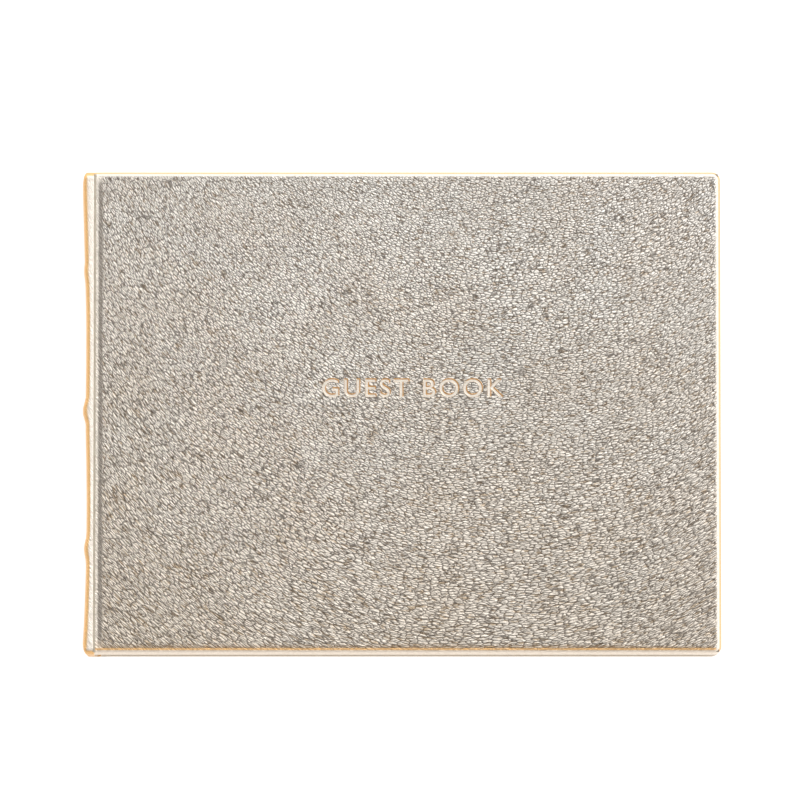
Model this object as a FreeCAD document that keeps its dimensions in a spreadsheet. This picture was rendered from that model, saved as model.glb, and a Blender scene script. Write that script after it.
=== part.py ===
"""A sewn wedding guest book in a full leather case, lying shut on its back cover.

Units are millimetres, and +Z is up. X runs from the spine (-) to the fore edge (+), and Y from the
tail (-) to the head (+). The origin is under the middle of the book, on the plane it lies on.

Everything is worked out from the sheet "Sizes". The sheet "Worked" holds the sizes that follow.
"""
import FreeCAD, Part
import math
import os

import Sketcher

doc = FreeCAD.newDocument("guest_book")

# ---------------------------------------------------------------- driving sizes
SIZES = {
    # the case, outside
    "book_width": 235.0,  # raised bands to fore edge
    "book_height": 178.0,  # tail to head
    # one cover, from its outer face inwards
    "leather_thickness": 0.9,
    "board_thickness": 2.6,
    "turn_in_thickness": 0.6,  # leather pared thin where it folds round a board
    "turn_in_width": 15.0,
    "paste_margin": 4.0,  # leather left showing round a pastedown
    "endpaper_thickness": 0.25,
    "infill_clearance": 0.2,
    "cover_corner_radius": 1.8,
    "cover_edge_radius": 1.7,
    # the text block
    "leaf_thickness": 0.18,
    "leaf_gap": 0.01,
    "fold_gap": 0.1,  # opening in the middle fold of a section
    "sheets_per_section": 4,
    "section_count": 9,
    "section_gap": 0.08,
    "cover_gap": 0.3,  # between a pastedown and the flyleaf it faces
    "square": 3.0,  # how far a cover stands past the leaves
    "flyleaf_tip": 2.9,  # from the folds to a flyleaf's spine edge
    # the spine
    "joint_width": 8.1,  # from the raised bands to the edge of a cover
    "spine_radius": 31.9,  # outer radius of the rounded leather
    "ridge_drop": 0.6,  # how far the spine's ridges lie below the covers
    "inlay_thickness": 0.7,
    "hollow_gap": 0.25,
    "lining_thickness": 0.2,
    "mull_thickness": 0.25,
    "tape_thickness": 0.3,
    "glue_line": 0.05,
    "mull_inset": 8.0,  # from the ends of the leaves to the ends of the mull
    "tape_width": 10.0,
    "kettle_inset": 12.0,
    "kettle_width": 1.2,
    "band_count": 3,
    "band_pitch": 50.7,
    "band_width": 5.0,
    "band_height": 1.0,
    "band_end_drop": 3.0,  # how far a band stops short of each cover's outer face
    "endband_depth": 2.0,
    "endband_height": 1.8,
    "hinge_clearance": 0.1,  # from the hinge lines to the outermost fold
    # the leather in a joint
    "groove_depth": 2.4,
    "joint_clearance": 0.25,
    "joint_lip": 1.3,
}

# Sizes that follow from the driving ones, as formulas for the sheet "Worked".
WORKED = {
    "shell": "Sizes.leather_thickness + Sizes.board_thickness + Sizes.turn_in_thickness",
    "cover": "shell + Sizes.endpaper_thickness",
    "cover_length": "Sizes.book_width - Sizes.joint_width",
    "cover_start": "Sizes.joint_width - Sizes.book_width / 2",
    "section": "2 * Sizes.sheets_per_section * Sizes.leaf_thickness"
    " + 2 * (Sizes.sheets_per_section - 1) * Sizes.leaf_gap + Sizes.fold_gap",
    "pitch": "section + Sizes.section_gap",
    "block": "Sizes.section_count * section + (Sizes.section_count - 1) * Sizes.section_gap"
    " + 2 * (Sizes.endpaper_thickness + Sizes.section_gap)",
    "thickness": "block + 2 * (cover + Sizes.cover_gap)",
    "middle": "thickness / 2",
    "page_height": "Sizes.book_height - 2 * Sizes.square",
    "page_end": "Sizes.book_width / 2 - Sizes.square",
    "rise": "middle - Sizes.ridge_drop",
    "centre": "Sizes.band_height + Sizes.spine_radius - Sizes.book_width / 2",
    "leather_in": "Sizes.spine_radius - Sizes.leather_thickness",
    "inlay_in": "leather_in - Sizes.inlay_thickness",
    "lining_out": "inlay_in - Sizes.hollow_gap",
    "lining_in": "lining_out - Sizes.lining_thickness",
    "mull_out": "lining_in - Sizes.glue_line",
    "mull_in": "mull_out - Sizes.mull_thickness",
    "tape_out": "mull_in - Sizes.glue_line",
    "tape_in": "tape_out - Sizes.tape_thickness",
    "block_rise": "block / 2",
    "fold_start": "centre - tape_in",
    "flyleaf_start": "fold_start + Sizes.flyleaf_tip",
}


def fill_sheet(name, cells):
    """A spreadsheet with one row for each size: its name in column A, its value in column B."""
    sheet = doc.addObject("Spreadsheet::Sheet", name)
    for row, (alias, content) in enumerate(cells.items(), start=1):
        sheet.set(f"A{row}", alias)
        sheet.setAlias(f"B{row}", alias)
        sheet.set(f"B{row}", str(content))
    return sheet


sizes = fill_sheet("Sizes", SIZES)
doc.recompute()
worked = fill_sheet("Worked", {alias: f"={formula}" for alias, formula in WORKED.items()})
doc.recompute()


def value(alias):
    """The number in a cell of either sheet."""
    sheet = sizes if alias in SIZES else worked
    return float(sheet.get(alias))


parts = []


def sub_part(feature, name):
    """Marks a feature as one sub-part, whose label names its file."""
    feature.Label = name
    parts.append(feature)
    return feature


def place(feature, x="0", y="0", z="0"):
    """Binds a feature's position to the sheets."""
    feature.setExpression("Placement.Base.x", x)
    feature.setExpression("Placement.Base.y", y)
    feature.setExpression("Placement.Base.z", z)


# ---------------------------------------------------------------- the two covers
# A cover is drawn from its outer face inwards, with its spine edge at x = 0 and its tail edge at
# y = 0. The back cover stands as it is drawn. The front cover is turned over about X.


def plane_of(body, role):
    """One of a body's own origin planes."""
    return next(f for f in body.Origin.OriginFeatures if f.Role == role)


def rectangle(body, name, level, left, low, length, width):
    """A sketch of a rectangle on a body's XY plane, raised to a level. All are expressions."""
    sketch = body.newObject("Sketcher::SketchObject", name)
    sketch.AttachmentSupport = [(plane_of(body, "XY_Plane"), "")]
    sketch.MapMode = "FlatFace"
    sketch.setExpression("AttachmentOffset.Base.x", left)
    sketch.setExpression("AttachmentOffset.Base.y", low)
    sketch.setExpression("AttachmentOffset.Base.z", level)
    corners = [FreeCAD.Vector(x, y, 0) for x, y in ((0, 0), (10, 0), (10, 10), (0, 10))]
    for start, end in zip(corners, corners[1:] + corners[:1]):
        sketch.addGeometry(Part.LineSegment(start, end), False)
    for side in range(4):
        sketch.addConstraint(Sketcher.Constraint("Coincident", side, 2, (side + 1) % 4, 1))
        direction = "Horizontal" if side % 2 == 0 else "Vertical"
        sketch.addConstraint(Sketcher.Constraint(direction, side))
    sketch.addConstraint(Sketcher.Constraint("Coincident", 0, 1, -1, 1))
    across = sketch.addConstraint(Sketcher.Constraint("DistanceX", 0, 1, 0, 2, 10))
    upward = sketch.addConstraint(Sketcher.Constraint("DistanceY", 1, 1, 1, 2, 10))
    sketch.setExpression(f"Constraints[{across}]", length)
    sketch.setExpression(f"Constraints[{upward}]", width)
    return sketch


def pad(body, name, sketch, depth):
    """A pad along +Z."""
    feature = body.newObject("PartDesign::Pad", name)
    feature.Profile = sketch
    feature.setExpression("Length", depth)
    return feature


def pocket(body, name, sketch, depth):
    """A pocket along +Z, checked to take the volume of its sketch times its depth away."""
    before = body.Shape.Volume
    feature = body.newObject("PartDesign::Pocket", name)
    feature.Profile = sketch
    feature.Reversed = True
    feature.setExpression("Length", depth)
    doc.recompute()
    cut = before - body.Shape.Volume
    expected = Part.Face(sketch.Shape.Wires[0]).Area * feature.Length.Value
    assert abs(cut - expected) < 0.01 * expected, f"{name} took {cut} mm3 and not {expected} mm3"
    return feature


def set_cover_place(body, side, x="Worked.cover_start", inset="0"):
    """Places a cover's piece: inset is its distance from the tail end of the cover."""
    if side == "back":
        place(body, x, f"{inset} - Sizes.book_height / 2", "0")
    else:
        place(body, x, f"Sizes.book_height / 2 - {inset}", "Worked.thickness")
        body.Placement.Rotation = FreeCAD.Rotation(FreeCAD.Vector(1, 0, 0), 180)


def upright_edges(shape, x):
    """The names of the edges that run along Z at a given x."""
    return [
        f"Edge{number}"
        for number, edge in enumerate(shape.Edges, start=1)
        if all(abs(v.X - x) < 1e-6 for v in edge.Vertexes)
        and abs(edge.Vertexes[0].Z - edge.Vertexes[-1].Z) > 1e-6
    ]


def rim_edges(shape):
    """The names of the edges round the face at z = 0."""
    return [
        f"Edge{number}"
        for number, edge in enumerate(shape.Edges, start=1)
        if edge.BoundBox.ZMax < 1e-6
    ]


def fillet(body, name, base, edges, radius):
    """A fillet on named edges of the feature before it."""
    feature = body.newObject("PartDesign::Fillet", name)
    feature.Base = (base, edges)
    feature.setExpression("Radius", radius)
    doc.recompute()
    return feature


def cover_leather(side):
    """The leather over one cover: a shallow case round the board, turned in on three sides."""
    name = f"{side}_cover_leather"
    body = doc.addObject("PartDesign::Body", name)
    outline = rectangle(
        body, f"{name}_outline", "0", "0", "0", "Worked.cover_length", "Sizes.book_height"
    )
    block = pad(body, f"{name}_block", outline, "Worked.shell")
    doc.recompute()
    corners = upright_edges(block.Shape, value("cover_length"))
    rounded = fillet(body, f"{name}_corners", block, corners, "Sizes.cover_corner_radius")
    rolled = rim_edges(rounded.Shape)
    fillet(body, f"{name}_rim", rounded, rolled, "Sizes.cover_edge_radius")
    board_room = rectangle(
        body,
        f"{name}_board_outline",
        "Sizes.leather_thickness",
        "Sizes.leather_thickness",
        "Sizes.leather_thickness",
        "Worked.cover_length - 2 * Sizes.leather_thickness",
        "Sizes.book_height - 2 * Sizes.leather_thickness",
    )
    pocket(body, f"{name}_board_room", board_room, "Sizes.board_thickness")
    opening = rectangle(
        body,
        f"{name}_opening_outline",
        "Sizes.leather_thickness + Sizes.board_thickness",
        "Sizes.leather_thickness",
        "Sizes.turn_in_width",
        "Worked.cover_length - Sizes.leather_thickness - Sizes.turn_in_width",
        "Sizes.book_height - 2 * Sizes.turn_in_width",
    )
    pocket(body, f"{name}_opening", opening, "Sizes.turn_in_thickness")
    set_cover_place(body, side)
    sub_part(body, name)


def cover_sheet(side, kind, level, left, low, length, width, depth):
    """A flat piece of one cover. Level is its distance from the cover's outer face."""
    name = f"{side}_{kind}"
    body = doc.addObject("PartDesign::Body", name)
    outline = rectangle(body, f"{name}_outline", level, left, low, length, width)
    pad(body, f"{name}_pad", outline, depth)
    set_cover_place(body, side)
    sub_part(body, name)


def cover_board(side):
    """The stiff board, which fills its room in the leather."""
    cover_sheet(
        side,
        "board",
        "Sizes.leather_thickness",
        "Sizes.leather_thickness",
        "Sizes.leather_thickness",
        "Worked.cover_length - 2 * Sizes.leather_thickness",
        "Sizes.book_height - 2 * Sizes.leather_thickness",
        "Sizes.board_thickness",
    )


def cover_infill(side):
    """Card that fills the shallow step between the turned-in edges of the leather."""
    cover_sheet(
        side,
        "board_infill",
        "Sizes.leather_thickness + Sizes.board_thickness",
        "Sizes.leather_thickness + Sizes.infill_clearance",
        "Sizes.turn_in_width + Sizes.infill_clearance",
        "Worked.cover_length - Sizes.leather_thickness - Sizes.turn_in_width"
        " - 2 * Sizes.infill_clearance",
        "Sizes.book_height - 2 * (Sizes.turn_in_width + Sizes.infill_clearance)",
        "Sizes.turn_in_thickness",
    )


def cover_pastedown(side):
    """The half of the endpaper that is pasted to the inside of the cover."""
    cover_sheet(
        side,
        "pastedown",
        "Worked.shell",
        "Sizes.leather_thickness",
        "Sizes.paste_margin",
        "Worked.cover_length - Sizes.leather_thickness - Sizes.paste_margin",
        "Sizes.book_height - 2 * Sizes.paste_margin",
        "Sizes.endpaper_thickness",
    )


def cover_flyleaf(side):
    """The free half of the endpaper, tipped to the nearest section."""
    cover_sheet(
        side,
        "flyleaf",
        "Worked.cover + Sizes.cover_gap",
        "Worked.flyleaf_start - Worked.cover_start",
        "Sizes.square",
        "Worked.page_end - Worked.flyleaf_start",
        "Worked.page_height",
        "Sizes.endpaper_thickness",
    )


for side in ("front", "back"):
    cover_leather(side)
    cover_board(side)
    cover_infill(side)
    cover_pastedown(side)
    cover_flyleaf(side)


# ---------------------------------------------------------------- profiles drawn across the book


def profile(name, wires):
    """A sketch in the XZ plane through the middle of the book, from lists of curves."""
    sketch = doc.addObject("Sketcher::SketchObject", name)
    sketch.Placement = FreeCAD.Placement(
        FreeCAD.Vector(0, 0, 0), FreeCAD.Rotation(FreeCAD.Vector(1, 0, 0), 90)
    )
    for wire in wires:
        for curve in wire:
            sketch.addGeometry(curve, False)
    return sketch


def extrude(name, sketch, length):
    """A profile carried the same distance towards the head and the tail."""
    feature = doc.addObject("Part::Extrusion", name)
    feature.Base = sketch
    feature.DirMode = "Normal"
    feature.Solid = True
    feature.Symmetric = True
    feature.setExpression("LengthFwd", length)
    return sub_part(feature, name)


def closed_line(points):
    """Straight curves round a list of points."""
    corners = [FreeCAD.Vector(x, z, 0) for x, z in points]
    return [Part.LineSegment(a, b) for a, b in zip(corners, corners[1:] + corners[:1])]


def folded_sheet(fold, end, level, outer, inner):
    """A sheet folded once: two leaves, whose fold is half a ring about (fold, level)."""
    upright = FreeCAD.Vector(0, 0, 1)
    centre = FreeCAD.Vector(fold, level, 0)
    quarter = math.pi / 2

    def half_ring(radius):
        return Part.ArcOfCircle(Part.Circle(centre, upright, radius), quarter, 3 * quarter)

    def line(x1, z1, x2, z2):
        return Part.LineSegment(FreeCAD.Vector(x1, z1, 0), FreeCAD.Vector(x2, z2, 0))

    return [
        half_ring(outer),
        line(fold, level - outer, end, level - outer),
        line(end, level - outer, end, level - inner),
        line(end, level - inner, fold, level - inner),
        half_ring(inner),
        line(fold, level + inner, end, level + inner),
        line(end, level + inner, end, level + outer),
        line(end, level + outer, fold, level + outer),
    ]


def section(number):
    """One section: sheets folded inside each other. Section 1 lies under the front cover."""
    half = value("section") / 2
    rise = ((value("section_count") + 1) / 2 - number) * value("pitch")
    level = value("middle") + rise
    reach = abs(rise) + half
    fold = value("centre") - math.sqrt(value("tape_in") ** 2 - reach**2) + half
    wires = []
    outer = half
    for _ in range(int(value("sheets_per_section"))):
        inner = outer - value("leaf_thickness")
        wires.append(folded_sheet(fold, value("page_end"), level, outer, inner))
        outer = inner - value("leaf_gap")
    name = f"section_{number}"
    extrude(name, profile(f"{name}_profile", wires), "Worked.page_height")


for number in range(1, int(value("section_count")) + 1):
    section(number)


def joint_leather(side):
    """The flexible strip of leather that dips between the spine's ridge and a cover."""
    left = value("centre") - math.sqrt(value("inlay_in") ** 2 - value("rise") ** 2)
    left += value("joint_clearance")
    right = value("cover_start") - value("joint_clearance")
    top = value("middle") - value("joint_lip") / 2
    floor = value("middle") - value("groove_depth")
    under = floor - value("leather_thickness")
    slope = (right - left) / 3
    half_wall = value("leather_thickness") / 2
    outline = [
        (left, top),
        (left + slope, floor),
        (right - slope, floor),
        (right, top),
        (right, floor - half_wall),
        (right - slope, under),
        (left + slope, under),
        (left, floor - half_wall),
    ]
    sign = 1 if side == "front" else -1
    outline = [(x, value("middle") + sign * z) for x, z in outline]
    name = f"{side}_joint_leather"
    extrude(name, profile(f"{name}_profile", [closed_line(outline)]), "Sizes.book_height")


for side in ("front", "back"):
    joint_leather(side)


# ---------------------------------------------------------------- the rounded spine


def arc_plate(name, outer, inner, rise, width, y="0"):
    """A plate bent round the spine: a ring about a line along Y, kept within a rise of the middle.

    Outer, inner, rise, width and y (the middle of its width) are expressions.
    """
    turned = FreeCAD.Rotation(FreeCAD.Vector(1, 0, 0), -90)
    rolls = []
    for word, radius in (("outside", outer), ("inside", inner)):
        roll = doc.addObject("Part::Cylinder", f"{name}_{word}")
        roll.setExpression("Radius", radius)
        roll.setExpression("Height", width)
        place(roll, "Worked.centre", f"{y} - ({width}) / 2", "Worked.middle")
        roll.Placement.Rotation = turned
        rolls.append(roll)
    ring = doc.addObject("Part::Cut", f"{name}_ring")
    ring.Base, ring.Tool = rolls
    slab = doc.addObject("Part::Box", f"{name}_slab")
    slab.setExpression("Length", outer)
    slab.setExpression("Width", width)
    slab.setExpression("Height", f"2 * ({rise})")
    place(slab, f"Worked.centre - ({outer})", f"{y} - ({width}) / 2", f"Worked.middle - ({rise})")
    plate = doc.addObject("Part::Common", name)
    plate.Base = ring
    plate.Tool = slab
    return plate


def joined(name, features):
    """Several features fused into one."""
    feature = doc.addObject("Part::MultiFuse", name)
    feature.Shapes = features
    return feature


def cut(name, base, tools):
    """A feature with others cut out of it, one after another."""
    for number, tool in enumerate(tools, start=1):
        feature = doc.addObject("Part::Cut", name if number == len(tools) else f"{name}_{number}")
        feature.Base = base
        feature.Tool = tool
        base = feature
    return base


inlay = sub_part(
    arc_plate(
        "spine_inlay",
        "Worked.leather_in",
        "Worked.inlay_in",
        "Worked.rise",
        "Sizes.book_height - 2 * Sizes.leather_thickness",
    ),
    "spine_inlay",
)

band_count = int(value("band_count"))
band_places = [
    f"{number - (band_count - 1) / 2} * Sizes.band_pitch" for number in range(band_count)
]
band_rise = "Worked.middle - Sizes.band_end_drop"
bands = []
welts = []
for number, y in enumerate(band_places, start=1):
    band = arc_plate(
        f"raised_band_{number}",
        "Worked.leather_in + Sizes.band_height",
        "Worked.leather_in",
        band_rise,
        "Sizes.band_width",
        y,
    )
    bands.append(sub_part(band, f"raised_band_{number}"))
    welt = arc_plate(
        f"band_welt_{number}",
        "Sizes.spine_radius + Sizes.band_height",
        "Worked.leather_in",
        f"{band_rise} + Sizes.leather_thickness",
        "Sizes.band_width + 2 * Sizes.leather_thickness",
        y,
    )
    welts.append(welt)

spine_wrap = arc_plate(
    "spine_wrap", "Sizes.spine_radius", "Worked.inlay_in", "Worked.rise", "Sizes.book_height"
)
spine_skin = joined("spine_skin", [spine_wrap] + welts)
sub_part(cut("spine_leather", spine_skin, [inlay] + bands), "spine_leather")

sub_part(
    arc_plate(
        "spine_lining",
        "Worked.lining_out",
        "Worked.lining_in",
        "Worked.block_rise",
        "Worked.page_height",
    ),
    "spine_lining",
)
sub_part(
    arc_plate(
        "spine_mull",
        "Worked.mull_out",
        "Worked.mull_in",
        "Worked.block_rise",
        "Worked.page_height - 2 * Sizes.mull_inset",
    ),
    "spine_mull",
)
for number, y in enumerate(band_places, start=1):
    tape = arc_plate(
        f"sewing_tape_{number}",
        "Worked.tape_out",
        "Worked.tape_in",
        "Worked.block_rise",
        "Sizes.tape_width",
        y,
    )
    sub_part(tape, f"sewing_tape_{number}")
for end, sign in (("head", ""), ("tail", "-")):
    stitch = arc_plate(
        f"kettle_stitch_{end}",
        "Worked.tape_out",
        "Worked.tape_in",
        "Worked.block_rise",
        "Sizes.kettle_width",
        f"{sign}(Worked.page_height / 2 - Sizes.kettle_inset)",
    )
    sub_part(stitch, f"kettle_stitch_{end}")
    endband = arc_plate(
        f"{end}_endband",
        "Worked.tape_out",
        "Worked.tape_out - Sizes.endband_depth",
        "Worked.block_rise",
        "Sizes.endband_height",
        f"{sign}(Worked.page_height / 2 + Sizes.endband_height / 2)",
    )
    sub_part(endband, f"{end}_endband")


# ---------------------------------------------------------------- checks, then the files
doc.recompute()
for feature in doc.Objects:
    bad = [word for word in feature.State if word in ("Invalid", "Error")]
    assert not bad, f"{feature.Label} is {bad}"
for part in parts:
    assert not part.Shape.isNull(), f"{part.Label} has no shape"
    assert part.Shape.isValid(), f"{part.Label} isn't valid"
    assert part.Shape.Solids, f"{part.Label} has no solid"

os.makedirs("parts", exist_ok=True)
for part in parts:
    part.Shape.exportStep(f"parts/{part.Label}.step")

box = FreeCAD.BoundBox()
for part in parts:
    box.add(part.Shape.optimalBoundingBox(False, False))
solids = sum(len(part.Shape.Solids) for part in parts)
print(f"{len(parts)} sub-parts, {solids} solids")
print(f"{box.XLength:.2f} x {box.YLength:.2f} x {box.ZLength:.2f} mm")
hinge_x = value("fold_start") - value("hinge_clearance")
for side, z in (("front", value("thickness") - value("cover") / 2), ("back", value("cover") / 2)):
    print(f"{side} hinge line: x = {hinge_x:.3f}, z = {z:.4f}")
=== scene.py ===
# %% [markdown]
# # A wedding guest book in foil leather
# A closed landscape guest book lies on a pale table with its front cover up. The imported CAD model
# is loaded first as a fixed frame: it says where every cover, leaf and thread is, and which body it
# moves with. Each step then makes one piece or one finish in that frame, in metres.

# %% Load the frame
import math
import random

import bmesh
import bpy
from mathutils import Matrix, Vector


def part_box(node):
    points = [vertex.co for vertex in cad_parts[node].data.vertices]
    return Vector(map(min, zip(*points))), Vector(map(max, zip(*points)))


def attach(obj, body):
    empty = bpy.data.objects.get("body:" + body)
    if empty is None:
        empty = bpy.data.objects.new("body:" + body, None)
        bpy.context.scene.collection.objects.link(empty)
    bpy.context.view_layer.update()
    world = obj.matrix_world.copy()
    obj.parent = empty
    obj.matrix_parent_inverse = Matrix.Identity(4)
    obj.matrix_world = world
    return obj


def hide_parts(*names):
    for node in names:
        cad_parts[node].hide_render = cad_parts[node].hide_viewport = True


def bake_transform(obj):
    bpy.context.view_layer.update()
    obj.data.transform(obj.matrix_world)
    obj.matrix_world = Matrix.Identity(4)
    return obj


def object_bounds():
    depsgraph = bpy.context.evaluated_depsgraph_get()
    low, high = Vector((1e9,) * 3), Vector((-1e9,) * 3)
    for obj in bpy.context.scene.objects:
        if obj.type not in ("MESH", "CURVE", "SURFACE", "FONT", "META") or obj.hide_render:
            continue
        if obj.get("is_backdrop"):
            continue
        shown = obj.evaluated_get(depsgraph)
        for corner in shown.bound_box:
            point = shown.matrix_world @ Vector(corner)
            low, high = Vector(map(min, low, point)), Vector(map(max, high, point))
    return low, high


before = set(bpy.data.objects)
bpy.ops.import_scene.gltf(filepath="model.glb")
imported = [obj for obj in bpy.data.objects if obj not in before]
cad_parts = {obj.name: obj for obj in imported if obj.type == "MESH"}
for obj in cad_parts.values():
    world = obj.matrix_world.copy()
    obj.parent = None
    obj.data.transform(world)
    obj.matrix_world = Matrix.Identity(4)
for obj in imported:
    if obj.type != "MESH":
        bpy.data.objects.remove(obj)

MM = 0.001
low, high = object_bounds()
print("size in millimetres:", [round(side / MM, 1) for side in high - low])

# %% [markdown]
# ## The camera
# The book is seen from almost straight above, from far away, so its sides stay parallel. A long lens
# three metres off gives that. It leans a little towards the tail, the side nearest the reader, which
# lets a sliver of the lower edge show. The distance and the width of the view are chosen first, and
# the lens follows from them.

# %% The camera
view_width = 294.3 * MM
camera_distance = 3.0
camera_lean = math.radians(4.1)
aim = Vector((-0.6 * MM, 4.6 * MM, high.z))

camera_data = bpy.data.cameras.new("camera")
camera_data.sensor_width = 36
camera_data.lens = 36 * camera_distance / view_width
camera_data.clip_end = 50
camera = bpy.data.objects.new("camera", camera_data)
bpy.context.scene.collection.objects.link(camera)
camera.location = aim + camera_distance * Vector((0, -math.sin(camera_lean), math.cos(camera_lean)))
camera.rotation_euler = (camera_lean, 0, 0)
bpy.context.scene.camera = camera
print("lens in millimetres:", round(camera_data.lens))

# %% [markdown]
# ## The table and the light
# A pale plain table and soft light from all round, as on a light table. Foil leather is half a mirror,
# so the room it reflects matters as much as the light that falls on it: the room is brighter towards
# the head and the fore edge, darker overhead on the reader's side, and pale again low down. A ring of
# lamps could do that. A Background whose strength follows the direction is smoother, and needs no
# lamps in the room. One soft light at the head gives the glints.

# %% The table
# the pale floor gives off a little light of its own, so it stays even right under the book
table_grey, table_glow = 0.42, 0.78


def pick_nothing():
    if bpy.context.object and bpy.context.object.mode != "OBJECT":
        bpy.ops.object.mode_set(mode="OBJECT")
    bpy.ops.object.select_all(action="DESELECT")


pick_nothing()
bpy.ops.mesh.primitive_plane_add(size=8, location=(0, 0, 0))
table = bpy.context.object
table.name = "table"
table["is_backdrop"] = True

table_paint = bpy.data.materials.new("pale table")
table_paint.use_nodes = True
paint = table_paint.node_tree.nodes["Principled BSDF"]
paint.inputs["Base Color"].default_value = (table_grey, table_grey, table_grey, 1)
paint.inputs["Emission Color"].default_value = (1, 1, 1, 1)
paint.inputs["Emission Strength"].default_value = table_glow
paint.inputs["Roughness"].default_value = 0.9
paint.inputs["Specular IOR Level"].default_value = 0.1
table.data.materials.append(table_paint)
print("table painted:", table_paint.name)

# %% Helpers that place nodes
def add(tree, kind, inputs=None, **settings):
    """Adds one node. inputs is {socket: value or output socket}."""
    made = tree.nodes.new("ShaderNode" + kind)
    for key, value in settings.items():
        setattr(made, key, value)
    for key, value in (inputs or {}).items():
        socket = made.inputs[key]
        if isinstance(value, bpy.types.NodeSocket):
            tree.links.new(value, socket)
        else:
            socket.default_value = value
    return made


def math_node(tree, operation, a, b=0.0, clamp=False):
    return add(tree, "Math", {0: a, 1: b}, operation=operation, use_clamp=clamp).outputs[0]


def remap(tree, value, from_low, from_high, to_low=0.0, to_high=1.0, soft=True):
    """Turns one range of a value into another, and holds it there at both ends."""
    return add(
        tree,
        "MapRange",
        {"Value": value, 1: from_low, 2: from_high, 3: to_low, 4: to_high},
        interpolation_type="SMOOTHSTEP" if soft else "LINEAR",
    ).outputs[0]


print("node helpers ready")

# %% The room
bpy.context.scene.view_settings.view_transform = "Standard"

world = bpy.data.worlds.new("room")
world.use_nodes = True
bpy.context.scene.world = world
room, background = world.node_tree, world.node_tree.nodes["Background"]

direction = add(room, "TexCoord").outputs["Generated"]
# how bright the room is, first by how far a direction leans to the bright side, then by its height
bright_way = Vector((0.62, 0.80, 0.12)).normalized()
towards = add(room, "VectorMath", {0: direction, 1: bright_way}, operation="DOT_PRODUCT").outputs["Value"]
upwards = add(room, "SeparateXYZ", {0: direction}).outputs["Z"]
dark_side = remap(room, towards, -0.42, 0.12, 0.15, 1.03, soft=False)
head_side = remap(room, towards, 0.12, 0.70, 0.0, 0.36, soft=False)
low_down = remap(room, upwards, 0.85, 0.50, 0.0, 0.50, soft=False)
strength = math_node(room, "ADD", math_node(room, "ADD", dark_side, head_side), low_down)
room.links.new(strength, background.inputs["Strength"])
background.inputs["Color"].default_value = (1, 0.99, 0.975, 1)
print("room nodes:", len(room.nodes))

# %% The head light
def soft_light(name, place, target, size, power):
    data = bpy.data.lights.new(name, "AREA")
    data.shape = "DISK"
    data.size = size
    data.energy = power
    lamp = bpy.data.objects.new(name, data)
    bpy.context.scene.collection.objects.link(lamp)
    lamp.location = place
    lamp.rotation_euler = (Vector(target) - Vector(place)).to_track_quat("-Z", "Y").to_euler()
    return lamp


head_light = soft_light("head light", (0.85, 1.15, 1.30), (0, 0, 0), size=1.2, power=6)
print("light:", head_light.name)

# %% [markdown]
# ## Small tools for the bench
# Modelling by hand in Blender is a round of the same moves: select one piece, enter edit mode, select
# the faces or edges that matter, and run an operator on them. These helpers do the selecting, by
# place, so each later step can say what it cuts, bevels or pulls.

# %% Picking a piece and its parts
def pick(obj):
    """Selects one piece and nothing else."""
    pick_nothing()
    obj.select_set(True)
    bpy.context.view_layer.objects.active = obj
    return obj


def take(obj):
    """Picks one piece and opens it in edit mode."""
    pick(obj)
    bpy.ops.object.mode_set(mode="EDIT")


def put_down(obj):
    bpy.ops.object.mode_set(mode="OBJECT")
    return obj


def middle(face):
    return face.calc_center_median()


def near(a, b, reach=0.01 * MM):
    return abs(a - b) < reach


def choose(obj, kind, test):
    """In edit mode, selects the vertices, edges or faces that pass the test."""
    bpy.ops.mesh.select_mode(type=kind)
    bpy.ops.mesh.select_all(action="DESELECT")
    mesh = bmesh.from_edit_mesh(obj.data)
    for part in {"VERT": mesh.verts, "EDGE": mesh.edges, "FACE": mesh.faces}[kind]:
        if test(part):
            part.select_set(True)
    mesh.select_flush_mode()
    bmesh.update_edit_mesh(obj.data)


print("picking tools ready")

# %% Blocks, lines and sweeps
def block(name, corner_a, corner_b):
    """A block between two corners, with its place in its mesh."""
    pick_nothing()
    bpy.ops.mesh.primitive_cube_add(size=1, location=(corner_a + corner_b) / 2, scale=corner_b - corner_a)
    bpy.ops.object.transform_apply(location=True, rotation=True, scale=True)
    obj = bpy.context.object
    obj.name = name
    return obj


def draw_line(name, points):
    """A thin line through points, drawn by extruding one vertex again and again. Stays in edit mode."""
    pick_nothing()
    bpy.ops.mesh.primitive_plane_add(size=1 * MM, location=points[0])
    bpy.ops.object.transform_apply(location=True, rotation=True, scale=True)
    obj = bpy.context.object
    obj.name = name
    take(obj)
    bpy.ops.mesh.select_mode(type="VERT")
    bpy.ops.mesh.select_all(action="SELECT")
    bpy.ops.mesh.merge(type="CENTER")
    for a, b in zip(points, points[1:]):
        bpy.ops.mesh.extrude_region_move(TRANSFORM_OT_translate={"value": b - a})
    return obj


def sweep(obj, stations):
    """Pulls a line that lies at stations[0] along Y through the other stations."""
    bpy.ops.mesh.select_all(action="SELECT")
    for a, b in zip(stations, stations[1:]):
        bpy.ops.mesh.extrude_region_move(TRANSFORM_OT_translate={"value": (0, b - a, 0)})
    return put_down(obj)


print("drawing tools ready")

# %% Finishing a piece
def point_outwards(obj, outward):
    """Makes the faces agree, and turns them all if most of the surface faces against outward(place)."""
    take(obj)
    bpy.ops.mesh.select_all(action="SELECT")
    bpy.ops.mesh.remove_doubles(threshold=0.001 * MM)
    bpy.ops.mesh.normals_make_consistent(inside=False)
    put_down(obj)
    if sum(face.area * face.normal.dot(outward(face.center)) for face in obj.data.polygons) < 0:
        take(obj)
        bpy.ops.mesh.select_all(action="SELECT")
        bpy.ops.mesh.flip_normals()
        put_down(obj)
    return obj


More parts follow.
